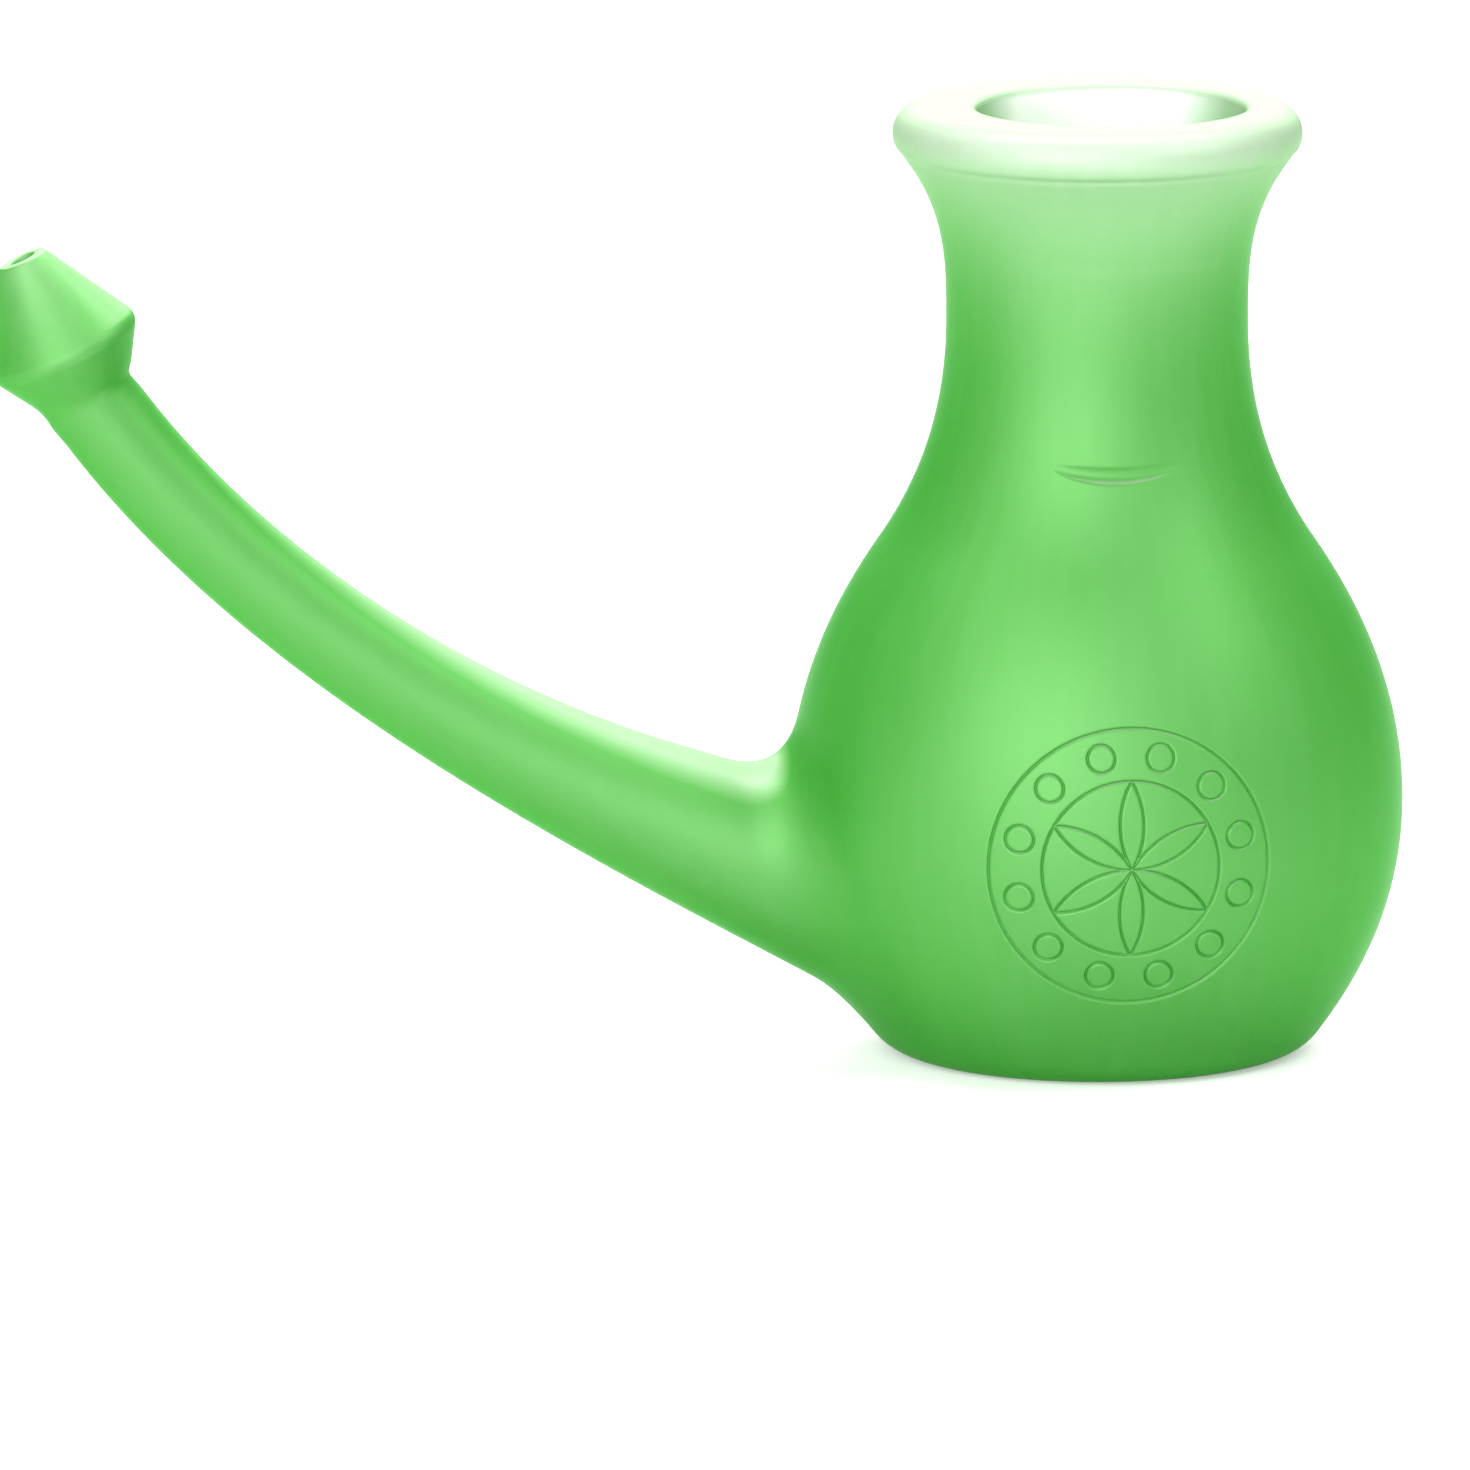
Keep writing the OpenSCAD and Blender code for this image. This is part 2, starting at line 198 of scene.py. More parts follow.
def creased(rows):
    """Presses the faint crease below the lip into rows of the outside."""
    rows[:, 0] -= CREASE_DEPTH * np.exp(-((rows[:, 1] - CREASE_Z) / CREASE_W) ** 2)
    return rows


def level_rows(radii, z):
    """Rows of a level face."""
    return np.c_[radii, 0 * radii + z]


def shell_profile():
    """Rows of the turned shell from its base, over the lip, to the cavity's floor.

    Each row is a radius, a height and the shift of its middle. The first row of the rim and the
    first row of the cavity come with them.
    """
    top = STATIONS[-1, 0]
    lip_middle = (LIP_D / 2 - LIP_EDGE_R, HEIGHT - LIP_EDGE_R)
    edge_middle = (MOUTH_D / 2 + MOUTH_EDGE_R, HEIGHT - MOUTH_EDGE_R)
    base_middle = (BASE_D / 2, BASE_EDGE_R)
    crease_from = CREASE_Z - 2
    outside = np.vstack([
        level_rows(np.linspace(TIP_R, BASE_D / 2, FLAT_ROWS)[:-1], 0),
        arc(base_middle, BASE_EDGE_R, -90, -BASE_FLARE, BASE_EDGE_ROWS)[:-1],
        side_rows(0, STATIONS[0, 0], crease_from, SIDE_STEP)[:-1],
        creased(side_rows(0, crease_from, top, CREASE_STEP))[:-1],
        creased(arc(lip_middle, LIP_EDGE_R, -LIP_FLARE, 90, LIP_ROWS)),
    ])
    land = np.linspace(lip_middle[0], edge_middle[0], LAND_ROWS)[1:-1]
    rim = np.vstack([
        level_rows(land, HEIGHT),
        arc(edge_middle, MOUTH_EDGE_R, 90, 180, MOUTH_EDGE_ROWS),
    ])
    bore_z = np.linspace(edge_middle[1], NECK_Z, BORE_ROWS)[1:]
    inner = side_rows(WALL, NECK_Z, STATIONS[0, 0], CAVITY_STEP)
    widening = np.linspace(0, 1, len(bore_z)) ** 4
    inside = np.vstack([
        np.c_[MOUTH_D / 2 + (inner[0, 0] - MOUTH_D / 2) * widening, bore_z],
        inner[1:],
        arc(base_middle, BASE_EDGE_R - WALL, -BASE_FLARE, -90, CAVITY_EDGE_ROWS)[1:],
        level_rows(np.linspace(BASE_D / 2, TIP_R, FLAT_ROWS)[1:], WALL),
    ])
    rows = np.vstack([outside, rim, inside])
    shift = np.interp(rows[:, 1], [NECK_Z, HEIGHT - MOUTH_EDGE_R], [0, MOUTH_SHIFT])
    first_rim, first_cavity = len(outside), len(outside) + len(rim) + len(bore_z)
    shift[:first_rim] = 0
    across = np.linspace(0, 1, len(land) + 2)[1:-1]
    shift[first_rim: first_rim + len(land)] = MOUTH_SHIFT * across
    return np.c_[rows, shift], first_rim, first_cavity


# Marks on the front


def eased(t):
    """Carries 0..1 to 0..1 with a level start and end."""
    return t * t * (3 - 2 * t)


def ornament_circles():
    """Each line of the ornament as a circle: middle x and z, radius, and whether it is a petal."""
    ring, flower = ORNAMENT_D / 2, FLOWER_D / 2
    circles = [(0, 0, ring, False), (0, 0, flower, False)]
    for i in range(PETALS):
        a = 2 * math.pi * i / PETALS
        circles.append((-flower * math.sin(a), flower * math.cos(a), flower, True))
    for i in range(BEADS):
        a = 2 * math.pi * (i + 0.5) / BEADS
        mid = (ring + flower) / 2
        circles.append((-mid * math.sin(a), mid * math.cos(a), BEAD_D / 2, False))
    return circles


def line_distance(x, z):
    """Distance in the front view from points to the nearest line of the ornament."""
    far = 1e3
    best = np.full(np.shape(x), far)
    inside = np.hypot(x, z - ORNAMENT_Z) < FLOWER_D / 2
    for cx, cz, r, petal in ornament_circles():
        d = np.abs(np.hypot(x - cx, z - ORNAMENT_Z - cz) - r)
        best = np.minimum(best, np.where(inside | (not petal), d, far))
    return best


def fill_bow(x):
    """One in the middle of the fill mark and nothing at its tips."""
    return 1 - (2 * x / FILL_W) ** 2


def mark_depth(x, z):
    """How deep the front is engraved at points of the front view."""
    t = np.clip(LINE_FLATNESS * (1 - line_distance(x, z) / (LINE_W / 2)), 0, 1)
    lines = LINE_DEPTH * eased(t)
    bow = fill_bow(x)
    above = z - FILL_Z + FILL_SAG * bow
    fill = np.sqrt(np.maximum(FILL_R**2 - above**2, 0)) - (FILL_R - FILL_DEPTH * bow)
    return np.maximum(lines, np.maximum(fill, 0))


def front_angle(x, z):
    """Angle round the body of points that are seen at x from the front."""
    r, _ = side_curve(z)
    return 2 * math.pi - np.arccos(np.clip(x / r, -1, 1))


def around(r, angle, z):
    """Points round the pot's axis."""
    return np.stack([r * np.cos(angle), r * np.sin(angle), z], -1)


def plain_point(angle, z):
    """Points of the body's outer side, away from its marks."""
    return around(body_curve(z)[0], angle, z)


def engraved_point(angle, z):
    """Points of the body's outer side, pressed in where the marks are."""
    r, m = body_curve(z)
    n = np.sqrt(1 + m**2)
    depth = mark_depth(r * np.cos(angle), z)
    return around(r - depth / n, angle, z + depth * m / n)


def cavity_point(angle, z):
    """Points of the cavity's side, by the height of the point itself."""
    return around(inset_radius(z, WALL), angle, z)


def ornament_lines():
    """Lines in the front view that the mesh follows in the ornament, and whether each is closed."""
    lines = []
    for cx, cz, r, petal in ornament_circles():
        spread = math.pi / 3 if petal else math.pi
        count = max(int(2 * spread * r / LINE_STEP), LEAST_STEPS)
        toward = math.atan2(-cz, -cx) if petal else 0
        a = toward + np.linspace(-spread, spread, count + 1)
        for across in ACROSS_LINE:
            radius = r + LINE_W / 2 * across
            line = np.c_[cx + radius * np.cos(a), ORNAMENT_Z + cz + radius * np.sin(a)]
            lines.append((line if petal else line[:-1], not petal))
    return lines


def fill_lines():
    """Lines that the mesh follows across the fill mark, from tip to tip, and beside it."""
    x = FILL_W / 2 * np.sin(np.linspace(-1, 1, FILL_COLUMNS) * math.pi / 2)
    bow = fill_bow(x)
    half = np.sqrt(np.maximum(FILL_R**2 - (FILL_R - FILL_DEPTH * bow) ** 2, 0))
    middle = FILL_Z - FILL_SAG * bow
    heights = [middle + share * half for share in np.linspace(-1, 1, FILL_ROWS)]
    heights += [middle - half - FILL_GUARD, middle + half + FILL_GUARD]
    return [(np.c_[x, z], False) for z in heights]


# Spout


def unit(v):
    return v / np.linalg.norm(v, axis=-1, keepdims=True)


def heading(degrees):
    """Direction towards -X that rises by an angle, in the XZ plane."""
    a = math.radians(degrees)
    return np.array([-math.cos(a), math.sin(a)])


STEM_DIR, NOZZLE_DIR = heading(STEM_RISE), heading(NOZZLE_RISE)
FACE_MIDDLE = np.array(STEM) + NOZZLE_LENGTH * NOZZLE_DIR

# The middle line is a cubic on these four points of the XZ plane
SPINE = np.array([
    ROOT,
    ROOT + ROOT_PULL * heading(ROOT_RISE),
    STEM - STEM_PULL * STEM_DIR,
    STEM,
])


def spine_point(t):
    t = np.asarray(t, float)[..., None]
    return (
        (1 - t) ** 3 * SPINE[0] + 3 * (1 - t) ** 2 * t * SPINE[1]
        + 3 * (1 - t) * t**2 * SPINE[2] + t**3 * SPINE[3]
    )


def spine_dir(t):
    t = np.asarray(t, float)[..., None]
    return unit(
        (1 - t) ** 2 * (SPINE[1] - SPINE[0]) + 2 * (1 - t) * t * (SPINE[2] - SPINE[1])
        + t**2 * (SPINE[3] - SPINE[2])
    )


def outward(direction, phi):
    """Direction away from the middle line: phi is 0 at the top and 90 degrees towards +Y."""
    x = direction[..., 1] * np.cos(phi)
    z = -direction[..., 0] * np.cos(phi)
    return np.stack([x, np.sin(phi) + 0 * x, z], -1)


def ring(p, r, direction, phi):
    """Ring of points round a point of the XZ plane, square to a direction in it."""
    return np.array([p[0], 0, p[1]]) + r * outward(direction, phi)


def skin(t, phi, inset):
    """Points of the spout's skin."""
    p = spine_point(t)
    r = STEM_D / 2 + (ROOT_D - STEM_D) / 2 * (1 - np.asarray(t)) ** TAPER_POWER - inset
    middle = np.stack([p[..., 0], 0 * p[..., 0], p[..., 1]], -1)
    return middle + r[..., None] * outward(spine_dir(t), phi)


def corner_end(phi):
    """Where the soft corner passes into the spout's skin, as a share of the middle line."""
    return CORNER_END + CORNER_SWING * np.cos(phi)


def body_reach(p, d, inset):
    """Distances along rays at which they meet the side of the body, by halving."""
    lo, hi = np.zeros(len(p)), np.full(len(p), -ROOT[0])
    for _ in range(30):
        mid = (lo + hi) / 2
        q = p + mid[:, None] * d
        outside = np.hypot(q[:, 0], q[:, 1]) > inset_radius(q[:, 2], inset)
        lo, hi = np.where(outside, mid, lo), np.where(outside, hi, mid)
    return (lo + hi) / 2


def corner_rings(phi, inset):
    """Rings of the soft corner, from the body's side out to the spout's skin."""
    t = corner_end(phi)
    p = skin(t, phi, inset)
    # Back along the skin, towards the body
    d = unit(p - skin(t + 0.01, phi, inset))
    hit = p + body_reach(p, d, inset)[:, None] * d
    up = np.cos(phi)
    middle_blend = np.where(up > 0, CROTCH_BLEND, HEEL_BLEND)
    reach = inset * CORNER_WALL + SIDE_BLEND * np.sin(phi) ** 2 + middle_blend * up**2
    back = np.minimum(reach, CORNER_SHARE * np.linalg.norm(hit - p, axis=1))
    start = hit - back[:, None] * d
    end = hit + reach[:, None] * outward(spine_dir(t), phi)
    r = inset_radius(end[:, 2], inset)
    end[:, :2] *= (r / np.hypot(end[:, 0], end[:, 1]))[:, None]
    # The corner leaves the body along its tangent plane
    _, m = body_curve(end[:, 2])
    n = unit(np.c_[end[:, 0] / r, end[:, 1] / r, -m])
    ahead = np.einsum("ij,ij->i", end - start, n) / np.einsum("ij,ij->i", d, n)
    least, most = CORNER_TURN
    turn = start + np.clip(ahead, least * reach, most * reach)[:, None] * d
    s = np.linspace(0, 1, CORNER_RINGS + 1)[:, None, None]
    return s**2 * start + 2 * s * (1 - s) * turn + (1 - s) ** 2 * end


def rounded(a, b, c, r, count):
    """Points of the arc that rounds the corner b of the path a, b, c."""
    a, b, c = (np.asarray(v, float) for v in (a, b, c))
    u, v = unit(a - b), unit(c - b)
    half = math.acos(float(u @ v)) / 2
    middle = b + unit(u + v) * r / math.sin(half)
    start, end = (b + w * r / math.tan(half) - middle for w in (u, v))
    a0 = math.degrees(math.atan2(start[1], start[0]))
    turn = (math.degrees(math.atan2(end[1], end[0])) - a0 + 540) % 360 - 180
    return arc(middle, r, a0, a0 + turn, count)


def crossing(p, u, q, v):
    """Where two lines meet, each given by a point and a direction."""
    w = q - p
    return p + u * (w[0] * v[1] - w[1] * v[0]) / (u[0] * v[1] - u[1] * v[0])


def nozzle_outline(inset):
    """Radius and distance behind the face, from stem to face, with each wall moved inwards."""
    ridge = np.array([RIDGE_D / 2, -RIDGE_X])
    foot = np.array([STEM_D / 2, -NOZZLE_LENGTH])
    cone, back = unit(ridge - [FACE_D / 2, 0]), unit(foot - ridge)
    cone_in = ridge + inset * np.array([cone[1], -cone[0]])
    foot_in = foot + inset * np.array([back[1], -back[0]])
    ridge_in = crossing(cone_in, cone, foot_in, back)
    face_in = cone_in + cone * (-inset - cone_in[1]) / cone[1]
    # Any point down the stem gives the foot's corner its direction
    tail = foot_in - [0, 6]
    edge_r = FACE_EDGE_R if inset == 0 else CHAMBER_EDGE_R
    return np.vstack([
        rounded(tail, foot_in, ridge_in, FOOT_EDGE_R, FOOT_RINGS),
        rounded(foot_in, ridge_in, face_in, RIDGE_EDGE_R, RIDGE_RINGS),
        rounded(ridge_in, face_in, [0, face_in[1]], edge_r, FACE_RINGS),
    ])


def dense(outline, step):
    """An outline with points added so that none lies further than step from the next."""
    out = [outline[0]]
    for a, b in zip(outline[:-1], outline[1:]):
        count = max(int(math.ceil(np.linalg.norm(b - a) / step)), 1)
        out += [a + (b - a) * k / count for k in range(1, count + 1)]
    return np.array(out)


def nozzle_rings(phi, inset):
    """Rings of the nozzle, from stem to face. They turn from the stem's direction at its foot."""
    rings = []
    for r, back in dense(nozzle_outline(inset), NOZZLE_STEP):
        s = min(max((back + NOZZLE_LENGTH + FOOT_TURN / 2) / FOOT_TURN, 0), 1)
        d = unit(STEM_DIR + (NOZZLE_DIR - STEM_DIR) * eased(s))
        rings.append(ring(FACE_MIDDLE + back * NOZZLE_DIR, r, d, phi))
    return np.array(rings)


def throat_rings(phi):
    """Rings of the hole in the nozzle's face, from the face inwards."""
    return [
        ring(FACE_MIDDLE + back * NOZZLE_DIR, HOLE_D / 2 + wider, NOZZLE_DIR, phi)
        for wider, back in THROAT
    ]


def spout_rings(phi, inset):
    """All rings of one skin of the spout, from the body to the nozzle's face."""
    start = corner_end(phi)
    t = start + (STEM_END - start) * np.linspace(0, 1, STEM_RINGS + 1)[1:, None]
    stem = skin(t, np.broadcast_to(phi, t.shape), inset)
    return np.concatenate([corner_rings(phi, inset), stem, nozzle_rings(phi, inset)])


# Mesh


class Shell:
    """Points and faces of the shell while it is put together, with the flow at each point."""

    def __init__(self):
        self.points = []
        self.flow = []
        self.faces = []

    def add(self, points, flow):
        """Adds points and returns their indices."""
        first = len(self.points)
        self.points.extend(map(tuple, points))
        self.flow.extend(map(tuple, flow))
        return list(range(first, first + len(points)))


def body_flow(angle, z):
    rise = np.broadcast_to(z * BODY_FLOW_RISE, angle.shape)
    return np.c_[np.cos(angle) * BODY_FLOW_R, np.sin(angle) * BODY_FLOW_R, rise]


def spout_flow(phi, along):
    rise = np.full(len(phi), along)
    return np.c_[SPOUT_FLOW_R * np.cos(phi), SPOUT_FLOW_R * np.sin(phi), rise]


def turned_grid(shell, rows):
    """Adds the rows of the turned shell and returns their indices, row by row."""
    angle = 2 * math.pi * np.arange(AROUND) / AROUND
    grid = []
    for r, z, shift in rows:
        points = np.c_[shift + r * np.cos(angle), r * np.sin(angle), np.full(AROUND, z)]
        grid.append(shell.add(points, body_flow(angle, z)))
    return np.array(grid)


def tube(shell):
    """Adds the spout as one tube: out along its skin, in at the hole, back along its channel.

    Returns the tube's first and last ring, which lie on the body's side and on the cavity's.
    """
    phi = 2 * math.pi * np.arange(SPOUT_SIDES) / SPOUT_SIDES
    outer, inner = (
        [
            shell.add(points, spout_flow(phi, SPOUT_FLOW_RISE * k))
            for k, points in enumerate(spout_rings(phi, inset))
        ]
        for inset in (0, WALL)
    )
    throat = [shell.add(points, spout_flow(phi, THROAT_FLOW)) for points in throat_rings(phi)]
    rings = outer + throat + inner[::-1]
    for a, b in zip(rings[:-1], rings[1:]):
        for i in range(SPOUT_SIDES):
            j = (i + 1) % SPOUT_SIDES
            shell.faces.append([a[i], a[j], b[j], b[i]])
    return rings[0], rings[-1]


def to_plane(angle, z):
    """Places in a window's plane."""
    return np.c_[np.asarray(angle) * PLANE_R, z]


def plane_lines(lines):
    """Lines of the front view, carried to a window's plane."""
    return [(to_plane(front_angle(*line.T), line[:, 1]), closed) for line, closed in lines]


def plane_loop(shell, indices):
    """A ring of the shell's points, carried to a window's plane."""
    p = np.array([shell.points[i] for i in indices])
    return to_plane(np.arctan2(p[:, 1], p[:, 0]) % (2 * math.pi), p[:, 2])


def inside_loop(points, loop):
    """Which points lie within a closed loop, by counting crossings."""
    inside = np.zeros(len(points), bool)
    for a, b in zip(loop, np.roll(loop, -1, 0)):
        cross = (a[1] > points[:, 1]) != (b[1] > points[:, 1])
        with np.errstate(divide="ignore", invalid="ignore"):
            x = a[0] + (points[:, 1] - a[1]) * (b[0] - a[0]) / (b[1] - a[1])
        inside ^= cross & (points[:, 0] < x)
    return inside


def clear_of(points, line):
    """Which points of a window keep their room from a line."""
    return np.linalg.norm(points[:, None] - line[None], axis=2).min(1) > LINE_ROOM


def row_near(rows, first, last, z):
    """The row nearest to a height, between two others."""
    return first + int(np.argmin(np.abs(rows[first:last, 1] - z)))


def window_at(rows, first, last, low, high, middle, half):
    """First and last row and column of a window."""
    a, b = row_near(rows, first, last, low), row_near(rows, first, last, high)
    c = int(round(middle / (2 * math.pi) * AROUND))
    return min(a, b), max(a, b), c - half, c + half


def window_grid(grid, rows, window):
    """The grid in a window: places in its plane, indices in the shell, and which are its border."""
    r0, r1, c0, c1 = window
    step = 2 * math.pi * PLANE_R / AROUND
    spots = [(r, c) for r in range(r0, r1 + 1) for c in range(c0, c1 + 1)]
    flat = np.array([(c * step, rows[r, 1]) for r, c in spots])
    owner = [int(grid[r, c % AROUND]) for r, c in spots]
    index = np.arange(len(spots)).reshape(r1 - r0 + 1, c1 - c0 + 1)
    border = np.concatenate([index[0], index[1:, -1], index[-1, -2::-1], index[-2:0:-1, 0]])
    return flat, owner, border


def patch(shell, grid, rows, window, place, lines, hole, flip):
    """Fills a window of the grid with triangles that follow given lines and leave a hole open.

    The hole is a ring of the shell's points. Place turns an angle and a height into a point.
    """
    flat, owner, border = window_grid(grid, rows, window)
    traces = [(line, closed, [-1] * len(line)) for line, closed in lines]
    if hole:
        loop = plane_loop(shell, hole)
        traces.append((loop, True, hole))
    clear = np.all([clear_of(flat, line) for line, _, _ in traces], axis=0)
    clear[border] = True
    if hole:
        clear &= ~inside_loop(flat, loop)
    kept = np.flatnonzero(clear)
    number = {int(k): i for i, k in enumerate(kept)}
    points = [flat[k] for k in kept]
    owner = [owner[k] for k in kept]
    edges = [(number[int(a)], number[int(b)]) for a, b in zip(border, np.roll(border, -1))]
    for line, closed, indices in traces:
        first, last = len(points), len(points) + len(line) - 1
        points += list(line)
        owner += indices
        edges += [(i, i + 1) for i in range(first, last)]
        if closed:
            edges.append((last, first))

    tolerance, keep_sources = 1e-5, True
    made, _, faces, origin, _, _ = delaunay_2d_cdt(
        [Vector(p) for p in points], edges, [], 0, tolerance, keep_sources
    )
    made = np.array([tuple(v) for v in made])
    target = [next((owner[s] for s in sources if owner[s] >= 0), -1) for sources in origin]
    fresh = [i for i, k in enumerate(target) if k < 0]
    if fresh:
        angle, z = made[fresh, 0] / PLANE_R, made[fresh, 1]
        for i, k in zip(fresh, shell.add(place(angle, z), body_flow(angle, z))):
            target[i] = k
    if hole:
        middle = np.array([made[list(f)].mean(0) for f in faces])
        faces = [f for f, skip in zip(faces, inside_loop(middle, loop)) if not skip]
    for f in faces:
        triangle = [target[i] for i in f]
        shell.faces.append(triangle[::-1] if flip else triangle)


def pot_shell():
    """Puts the whole shell together: turned grid, spout, and patches in the grid's windows."""
    shell = Shell()
    rows, first_rim, first_cavity = shell_profile()
    grid = turned_grid(shell, rows)
    root, channel = tube(shell)

    side, cavity = (0, first_rim), (first_cavity, len(rows))
    covered = np.zeros((len(rows) - 1, AROUND), bool)
    for bounds, part, place, lines, hole in (
        (ORNAMENT_WINDOW, side, engraved_point, plane_lines(ornament_lines()), None),
        (FILL_WINDOW, side, engraved_point, plane_lines(fill_lines()), None),
        (ROOT_WINDOW, side, plain_point, [], root),
        (CHANNEL_WINDOW, cavity, cavity_point, [], channel),
    ):
        window = window_at(rows, *part, *bounds)
        patch(shell, grid, rows, window, place, lines, hole, flip=part is cavity)
        r0, r1, c0, c1 = window
        covered[r0:r1, c0:c1] = True

    for r, c in zip(*np.nonzero(~covered)):
        d = (c + 1) % AROUND
        square = (grid[r, c], grid[r, d], grid[r + 1, d], grid[r + 1, c])
        shell.faces.append([int(i) for i in square])
    for row, flip in ((0, True), (len(rows) - 1, False)):
        tip = shell.add([(0, 0, rows[row, 1])], [(0, 0, 0)])[0]
        for c in range(AROUND):
            a, b = int(grid[row, c]), int(grid[row, (c + 1) % AROUND])
            shell.faces.append([b, a, tip] if flip else [a, b, tip])
    return shell


def shell_object():
    """Makes the mesh object, without the points that no face uses."""
    shell = pot_shell()
    used = sorted({i for f in shell.faces for i in f})
    number = {k: i for i, k in enumerate(used)}
    points = np.array([shell.points[i] for i in used]) * MM
    mesh = bpy.data.meshes.new("frosted_shell")
    mesh.from_pydata(points.tolist(), [], [[number[i] for i in f] for f in shell.faces])
    flow = mesh.attributes.new("flow", "FLOAT_VECTOR", "POINT")
    flow.data.foreach_set("vector", np.array([shell.flow[i] for i in used]).ravel())
    mesh.update()
    mesh.shade_smooth()
    pot = bpy.data.objects.new("frosted_shell", mesh)
    bpy.context.collection.objects.link(pot)
    return pot


# Materials


def feed(tree, socket, value):
    """Gives a socket its number or colour, or links it to the socket that feeds it."""
    if isinstance(value, bpy.types.NodeSocket):
        tree.links.new(value, socket)
    else:
        socket.default_value = value


def node(tree, kind, inputs, **settings):
    """Adds a node with its settings, and feeds its inputs."""
    made = tree.nodes.new(kind)
    for name, value in settings.items():
        setattr(made, name, value)
    for name, value in inputs.items():
        feed(tree, made.inputs[name], value)
    return made


def noise(tree, vector, scale, detail):
    inputs = {"Vector": vector, "Scale": scale, "Detail": detail}
    return node(tree, "ShaderNodeTexNoise", inputs).outputs["Fac"]


def ramp(tree, value, start, end, low=0.0, high=1.0):
    """Low up to the start, high from the end on, and an even rise between them."""
    inputs = {"Value": value, "From Min": start, "From Max": end, "To Min": low, "To Max": high}
    return node(tree, "ShaderNodeMapRange", inputs).outputs["Result"]


def maths(tree, operation, *values):
    """Result of a sum on numbers and sockets."""
    inputs = dict(enumerate(values))
    return node(tree, "ShaderNodeMath", inputs, operation=operation).outputs["Value"]


def parts_of(tree, vector):
    """X, Y and Z of a vector."""
    split = node(tree, "ShaderNodeSeparateXYZ", {"Vector": vector})
    return [split.outputs[k] for k in "XYZ"]


def between(tree, factor, low, high):
    """Colour between two others."""
    inputs = {"Factor": factor, "A": low, "B": high}
    return node(tree, "ShaderNodeMix", inputs, data_type="RGBA").outputs["Result"]


def bump(tree, height, strength, distance, **under):
    inputs = {"Height": height, "Strength": strength, "Distance": distance, **under}
    return node(tree, "ShaderNodeBump", inputs).outputs["Normal"]


def new_material(name):
    """A material with its node tree and its shader."""
    material = bpy.data.materials.new(name)
    material.use_nodes = True
    return material, material.node_tree, material.node_tree.nodes["Principled BSDF"]


# Where the light from above is painted into the plastic as paleness: from and to which height, from
# and to which upward share of its normal, and how pale the upper faces are painted beside the rim
TOP_LIGHT_HEIGHT, TOP_LIGHT_UP, TOP_LIGHT_UP_SHARE = (0.100, 0.138), (0.6, 0.85), 0.8

# Where the mouth's painted white begins and is complete: distance from the axis, height in the
# throat, height under the top of the lip, and distance in X from the mouth's own middle
MOUTH_RADIUS, MOUTH_THROAT, MOUTH_TOP = (0.0228, 0.0222), (0.118, 0.130), (0.1394, 0.1387)
MOUTH_ASIDE, MOUTH_X = (0.0180, 0.0120), MOUTH_SHIFT * MM

# Colours of the plastic, and of the tinted clear layer on it: in the thin wall, where the light
# from above is painted in as paleness at the rim and on upper faces, and in the mouth, painted
# white as if strongly lit
PLASTIC_AND_PAINTED_LIGHT = ((0.13, 0.42, 0.10, 1), (0.96, 0.92, 0.96, 1), (0.97, 0.98, 0.96, 1))
TINT_AND_PAINTED_LIGHT = ((0.42, 0.88, 0.36, 1), (0.74, 0.88, 0.71, 1), (0.97, 0.99, 0.96, 1))

# Share of light that passes through the plastic, and how much less does in the mouth, to keep its
# painted white
PASSING, PASSING_CUT = 0.6, 0.55

# Streaks of the moulding: scale and detail, which of them are paler, how much paler, the
# roughness from one streak to the next, and the bump's strength and height
STREAK_NOISE = (1.3, 1)
STREAK_PALE, STREAK_MILK = (0.4, 0.7), 0.03
STREAK_ROUGHNESS, STREAK_BUMP = (0.50, 0.60), (0.15, 0.0002)

# Fine grain of the frosting: scale and detail, and the bump's strength and height
GRAIN_NOISE, GRAIN_BUMP = (1400, 0), (0.12, 0.00005)

# Light in the room, the floor's own white where it is looked at, and the floor's colour
ROOM_LIGHT, FLOOR_GLOW, FLOOR_COLOUR = 0.35, 0.36, (0.8, 0.8, 0.8, 1)


def painted_top_light(tree, place):
    """Painted light from above: how pale the plastic is painted, more and more towards its rim, and
    on faces that look up.
    """
    normal = tree.nodes.new("ShaderNodeNewGeometry").outputs["Normal"]
    height, up = parts_of(tree, place)[2], parts_of(tree, normal)[2]
    # Paleness towards the rim and on faces that look up is painted light from above
    rim = maths(tree, "POWER", ramp(tree, height, *TOP_LIGHT_HEIGHT), 2)
    top_light_on_upper_faces = maths(tree, "MULTIPLY", ramp(tree, up, *TOP_LIGHT_UP), TOP_LIGHT_UP_SHARE)
    return maths(tree, "MAXIMUM", rim, top_light_on_upper_faces)


def mouth_painted_light(tree, place):
    """Where the mouth is painted white as if strongly lit: one inside the lip and down the throat,
    and nothing elsewhere.
    """
    x, y, z = parts_of(tree, place)
    squares = [maths(tree, "MULTIPLY", part, part) for part in (x, y)]
    from_axis = maths(tree, "SQRT", maths(tree, "ADD", *squares))
    aside = maths(tree, "ABSOLUTE", maths(tree, "SUBTRACT", x, MOUTH_X))
    mouth_light = ramp(tree, from_axis, *MOUTH_RADIUS)
    for value, limits in ((z, MOUTH_THROAT), (z, MOUTH_TOP), (aside, MOUTH_ASIDE)):
        mouth_light = maths(tree, "MULTIPLY", mouth_light, ramp(tree, value, *limits))
    return mouth_light


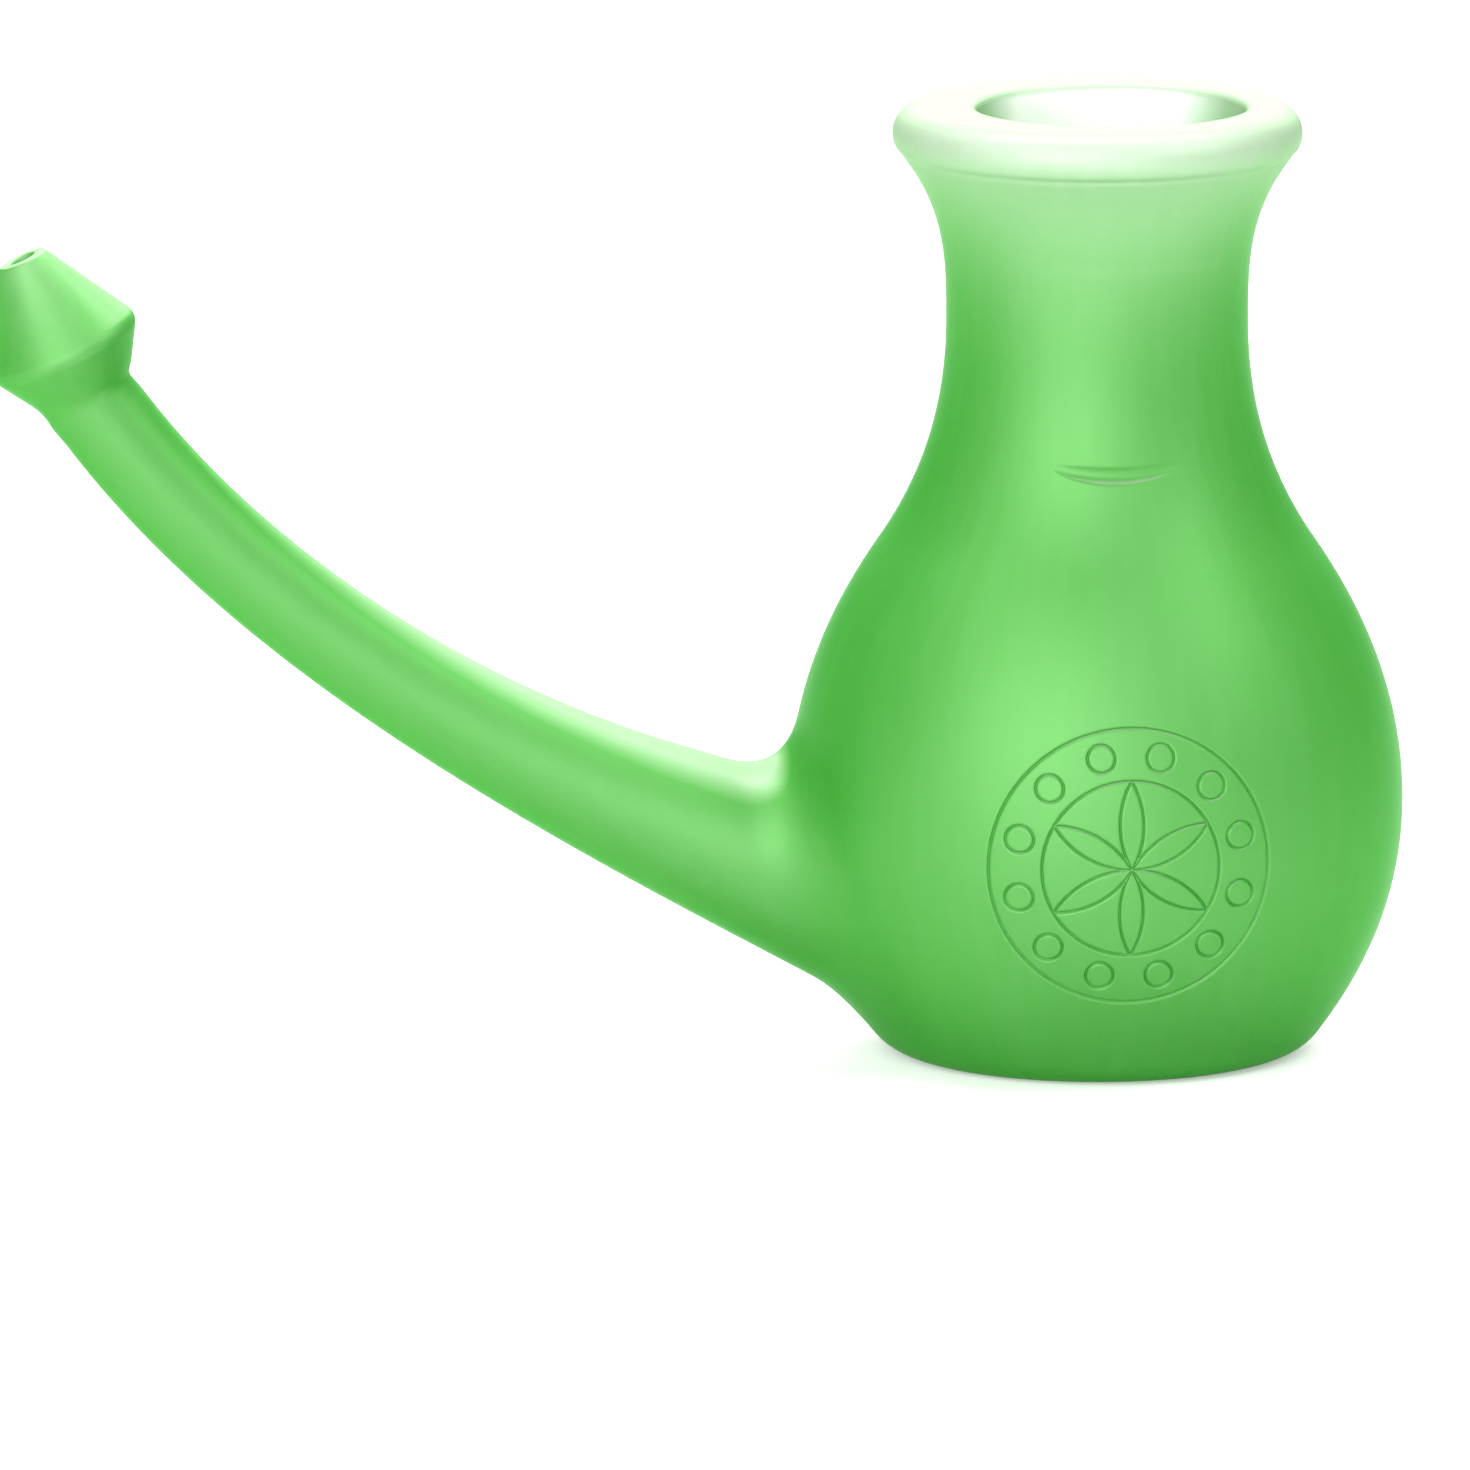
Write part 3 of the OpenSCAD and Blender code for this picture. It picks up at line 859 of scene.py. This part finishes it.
def frosted_plastic():
    """Translucent green plastic with a fine grain, with light painted into its colour: paler
    towards its lip and on upward faces, and white in its mouth.

    A tinted clear layer deepens the green where the wall is seen at a low angle, as the longer way
    through the real plastic does. Faint streaks follow the flow of the moulding.
    """
    material, tree, shader = new_material("frosted_green_plastic")
    shader.inputs["IOR"].default_value = 2.4
    shader.inputs["Coat Weight"].default_value = 1.0
    shader.inputs["Coat IOR"].default_value = 1.08
    shader.inputs["Coat Roughness"].default_value = 0.4

    place = tree.nodes.new("ShaderNodeTexCoord").outputs["Object"]
    flow = node(tree, "ShaderNodeAttribute", {}, attribute_name="flow").outputs["Vector"]
    streaks = noise(tree, flow, *STREAK_NOISE)
    paler = ramp(tree, streaks, *STREAK_PALE, high=STREAK_MILK)
    # Painted paleness of the light from above, with the streaks' own paler tone added
    top_light_and_streaks = maths(tree, "ADD", painted_top_light(tree, place), paler)
    # The mouth is painted white as if strongly lit
    mouth_light = mouth_painted_light(tree, place)
    # Thin-wall green, then the painted paleness of the light from above, then the mouth's painted
    # white
    for name, (thin, top_light_pale, inner) in (("Base Color", PLASTIC_AND_PAINTED_LIGHT), ("Coat Tint", TINT_AND_PAINTED_LIGHT)):
        colour = between(tree, mouth_light, between(tree, top_light_and_streaks, thin, top_light_pale), inner)
        feed(tree, shader.inputs[name], colour)

    # Less light passes in the mouth, so that its painted white holds
    passing = maths(tree, "SUBTRACT", PASSING, maths(tree, "MULTIPLY", mouth_light, PASSING_CUT))
    feed(tree, shader.inputs["Transmission Weight"], passing)
    roughness = ramp(tree, streaks, 0, 1, *STREAK_ROUGHNESS)
    feed(tree, shader.inputs["Roughness"], roughness)
    waves = bump(tree, streaks, *STREAK_BUMP)
    grain = bump(tree, noise(tree, place, *GRAIN_NOISE), *GRAIN_BUMP, Normal=waves)
    feed(tree, shader.inputs["Normal"], grain)

    absorb = tree.nodes.new("ShaderNodeVolumeAbsorption")
    absorb.inputs["Color"].default_value = (0.1, 0.9, 0.0, 1)
    absorb.inputs["Density"].default_value = 200
    feed(tree, tree.nodes["Material Output"].inputs["Volume"], absorb.outputs["Volume"])
    return material


def looked_at(tree):
    """One for a camera, glossy or transmission ray, so that these see a white background."""
    path = tree.nodes.new("ShaderNodeLightPath")
    seen = path.outputs["Is Camera Ray"]
    for name in ("Is Glossy Ray", "Is Transmission Ray"):
        seen = maths(tree, "MAXIMUM", seen, path.outputs[name])
    return seen


def floor_material():
    """Pale studio floor that keeps a soft shadow and otherwise shows as white."""
    material, tree, shader = new_material("studio_floor")
    shader.inputs["Base Color"].default_value = FLOOR_COLOUR
    shader.inputs["Roughness"].default_value = 0.9
    strength = maths(tree, "MULTIPLY", looked_at(tree), FLOOR_GLOW)
    glow = node(tree, "ShaderNodeEmission", {"Strength": strength})
    layers = {0: shader.outputs["BSDF"], 1: glow.outputs["Emission"]}
    both = node(tree, "ShaderNodeAddShader", layers).outputs["Shader"]
    feed(tree, tree.nodes["Material Output"].inputs["Surface"], both)
    return material


# Stage, light and camera


def floor():
    """Large pale floor, open on every side so that the pot can be seen from all round."""
    half = 2.5
    points = [(-half, -half, 0), (half, -half, 0), (half, half, 0), (-half, half, 0)]
    mesh = bpy.data.meshes.new("studio_floor")
    mesh.from_pydata(points, [], [(0, 1, 2, 3)])
    mesh.materials.append(floor_material())
    plane = bpy.data.objects.new("studio_floor", mesh)
    bpy.context.collection.objects.link(plane)


def world_light():
    """A soft room light, and white past the floor where it is looked at."""
    world = bpy.data.worlds.new("studio")
    world.use_nodes = True
    tree = world.node_tree
    background = tree.nodes["Background"]
    background.inputs["Color"].default_value = (1, 1, 1, 1)
    feed(tree, background.inputs["Strength"], ramp(tree, looked_at(tree), 0, 1, low=ROOM_LIGHT))
    bpy.context.scene.world = world


def lamp(name, place, target, size, power):
    """Adds a softbox that faces a target: its sides in metres and its power in watts."""
    light = bpy.data.lights.new(name, "AREA")
    light.shape = "RECTANGLE"
    light.size, light.size_y = size
    light.energy = power
    lamp_object = bpy.data.objects.new(name, light)
    lamp_object.location = place
    lamp_object.visible_camera = False
    aim = (Vector(target) - Vector(place)).to_track_quat("-Z", "Y")
    lamp_object.rotation_euler = aim.to_euler()
    bpy.context.collection.objects.link(lamp_object)


def studio_lamps():
    lamp("front_softbox", (-0.75, -1.5, 0.6), (0, 0, 0.07), (2.0, 1.7), 52)
    lamp("top_softbox", (-0.05, 0.3, 1.1), (-0.03, 0, 0.08), (1.6, 0.3), 21)
    lamp("back_softbox", (0.2, 1.5, 0.8), (-0.03, 0, 0.08), (1.8, 0.9), 20)
    lamp("strip_softbox", (0.72, -0.45, 0.9), (0.02, 0, 0.08), (0.16, 0.7), 6)


def camera():
    """Camera at the photograph's angle, far off, as the photograph shows hardly any perspective."""
    azimuth, elevation, distance = math.radians(-6), math.radians(10.5), 4.0
    aim_height, aim_left, aim_below = 0.071, 0.05292, 0.02410
    focal_pixels, photo_pixels = 27320, 1470
    right = Vector((math.cos(azimuth), math.sin(azimuth), 0))
    ahead = Vector((
        -math.sin(azimuth) * math.cos(elevation),
        math.cos(azimuth) * math.cos(elevation),
        -math.sin(elevation),
    ))
    up = right.cross(ahead)
    aim = Vector((0, 0, aim_height)) - aim_left * right - aim_below * up
    data = bpy.data.cameras.new("photo_camera")
    data.sensor_width = 36
    data.lens = focal_pixels / photo_pixels * data.sensor_width
    data.clip_end = 50
    cam = bpy.data.objects.new("photo_camera", data)
    cam.matrix_world = Matrix.Translation(aim - distance * ahead) @ Matrix((
        (right.x, up.x, -ahead.x, 0),
        (right.y, up.y, -ahead.y, 0),
        (right.z, up.z, -ahead.z, 0),
        (0, 0, 0, 1),
    ))
    bpy.context.collection.objects.link(cam)
    bpy.context.scene.camera = cam


pot = shell_object()
pot.data.materials.append(frosted_plastic())
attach(pot, "root")
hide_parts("pot")
floor()
world_light()
studio_lamps()
camera()
bpy.context.scene.view_settings.view_transform = "Standard"
